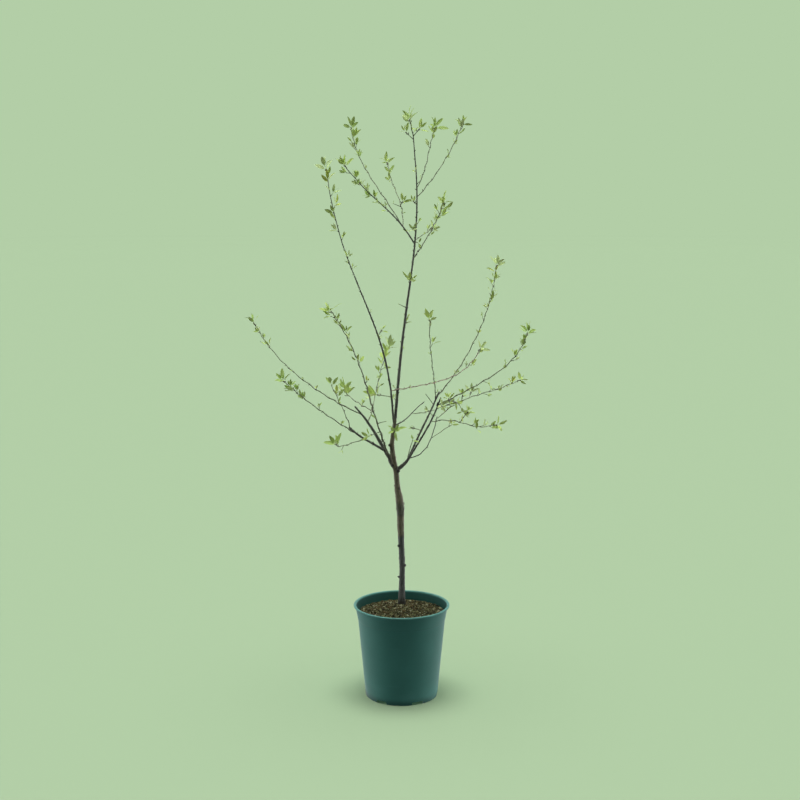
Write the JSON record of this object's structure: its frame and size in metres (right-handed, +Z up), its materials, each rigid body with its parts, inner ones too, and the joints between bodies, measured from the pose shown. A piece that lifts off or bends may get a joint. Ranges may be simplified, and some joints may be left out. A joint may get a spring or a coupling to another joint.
{
  "type": "potted plum tree",
  "caption": "Young plum tree with a slender trunk and an open, nearly bare crown just coming into leaf, planted in a round nursery pot with a rolled rim and drainage notches.",
  "frame": {"origin": "middle of the pot's flat underside, on the round pad under its floor", "axes": "+Z straight up from the ground, +X to the right and -Y towards the viewer in the front view, which shows the crown at its widest"},
  "size_m": [0.7304, 0.5703, 1.4696],
  "materials": {
    "pot": "satin",
    "potting_mix": "matte",
    "trunk_bark": "matte",
    "bough_bark": "matte",
    "shoot_bark": "satin",
    "leaves": "matte"
  },
  "bodies": {
    "root": {"pot": "pot", "potting_mix": "potting_mix", "trunk": "trunk_bark", "leader": "bough_bark", "leader_leaves": "leaves", "tall_left_bough": "bough_bark", "tall_left_leaves": "leaves", "left_bough": "bough_bark", "left_far_shoot": "shoot_bark", "left_far_leaves": "leaves", "left_lower_bough": "bough_bark", "left_low_shoot": "shoot_bark", "left_low_leaves": "leaves", "left_front_shoot": "bough_bark", "left_front_leaves": "leaves", "left_back_shoot": "shoot_bark", "left_back_leaves": "leaves", "left_middle_shoot": "shoot_bark", "left_middle_leaves": "leaves", "left_inner_shoot": "shoot_bark", "left_inner_leaves": "leaves", "left_bottom_shoot": "shoot_bark", "left_bottom_leaves": "leaves", "right_bough": "bough_bark", "right_upper_bough": "bough_bark", "right_tall_shoot": "shoot_bark", "right_tall_leaves": "leaves", "right_upright_shoot": "shoot_bark", "right_upright_leaves": "leaves", "right_lower_bough": "bough_bark", "right_wide_shoot": "shoot_bark", "right_wide_leaves": "leaves", "right_back_bough": "shoot_bark", "right_back_shoot": "shoot_bark", "right_back_leaves": "leaves", "right_little_shoot": "shoot_bark", "right_little_leaves": "leaves", "right_low_shoot": "shoot_bark", "right_low_leaves": "leaves", "front_cross_shoot": "shoot_bark", "front_cross_leaves": "leaves", "middle_right_bough": "shoot_bark", "middle_back_shoot": "shoot_bark", "middle_back_leaves": "leaves", "upper_right_shoot": "shoot_bark", "upper_right_leaves": "leaves", "upper_back_shoot": "shoot_bark", "upper_back_leaves": "leaves", "top_right_shoot": "shoot_bark", "top_right_leaves": "leaves", "top_far_right_shoot": "shoot_bark", "top_far_right_leaves": "leaves", "top_left_bough": "shoot_bark", "top_left_leaves": "leaves", "top_left_high_shoot": "shoot_bark", "top_left_high_leaves": "leaves", "top_left_inner_shoot": "shoot_bark", "top_left_inner_leaves": "leaves"}
  },
  "joints": []
}
